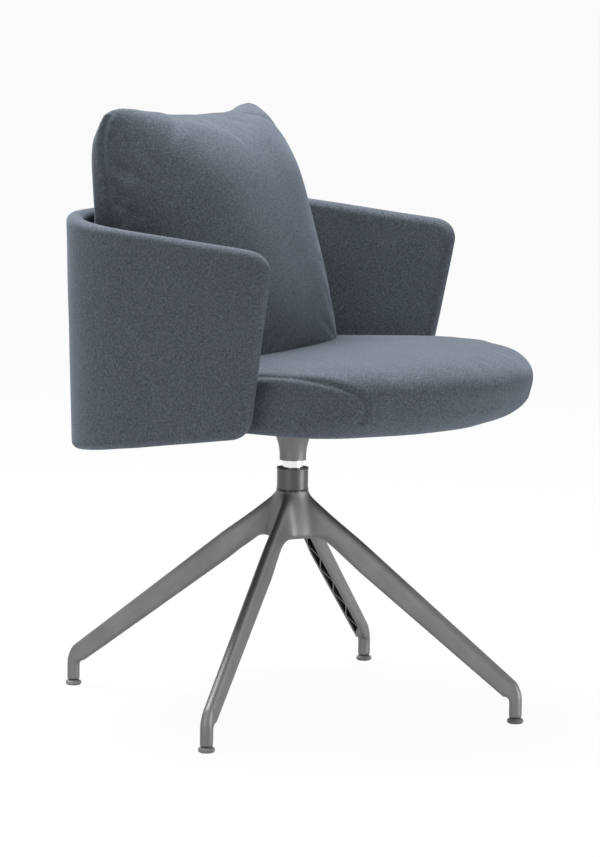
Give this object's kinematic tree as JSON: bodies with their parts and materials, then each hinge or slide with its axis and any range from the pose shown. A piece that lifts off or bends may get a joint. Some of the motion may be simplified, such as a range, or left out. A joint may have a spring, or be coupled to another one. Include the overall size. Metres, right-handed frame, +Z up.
{
  "type": "swivel tub armchair",
  "caption": "Upholstered swivel armchair: wrap-round tub with low arms, crowned seat and loose back cushion on a pyramid base of sloping legs with glides.",
  "frame": {"origin": "on the floor under the swivel axis", "axes": "+Z up along the swivel axis; the sitter faces -Y, with their left hand towards +X"},
  "size_m": [0.6574, 0.6574, 0.8074],
  "materials": {
    "felt_fabric": "slate blue felted wool",
    "coated_metal": "semi-matt dark graphite coating",
    "chrome": "bright chrome",
    "glide_plastic": "grey plastic",
    "dark_plastic": "black plastic",
    "steel": "zinc plated",
    "plywood": "raw birch plywood"
  },
  "bodies": {
    "base": {"pyramid_base": "coated_metal", "glide_1": "glide_plastic", "glide_2": "glide_plastic", "glide_3": "glide_plastic", "glide_4": "glide_plastic", "column_tube": "steel", "bearing_seat": "steel", "lower_race": "steel", "lower_bush": "dark_plastic", "upper_bush": "dark_plastic", "collar_sleeve": "coated_metal", "collar_gasket": "dark_plastic"},
    "cage": {"ball_cage": "dark_plastic", "bearing_balls": "steel"},
    "seat": {"swivel_rod": "chrome", "upper_race": "steel", "thrust_washer": "steel", "retaining_clip": "steel", "seat_mount": "coated_metal", "mount_bolts": "steel", "seat_board": "plywood", "tee_nuts": "steel", "seat_cushion": "felt_fabric", "tub_core": "plywood", "tub_cover": "felt_fabric", "side_bracket_1": "steel", "side_bracket_2": "steel", "side_bracket_3": "steel", "side_bracket_4": "steel", "bracket_screws": "steel", "back_upright_left": "steel", "back_upright_right": "steel", "upright_screws": "steel", "back_board": "plywood", "board_screws": "steel", "back_cushion": "felt_fabric"}
  },
  "joints": [
    {"name": "swivel", "type": "hinge", "parent": "base", "child": "seat", "pos_m": [0, 0, 0.3], "axis": [0, 0, 1], "continuous": true},
    {"name": "cage_roll", "type": "hinge", "parent": "base", "child": "cage", "pos_m": [0, 0, 0.3], "axis": [0, 0, 1], "continuous": true}
  ],
  "couplings": [
    {"joint": "cage_roll", "follows": "swivel", "ratio": 0.5}
  ]
}
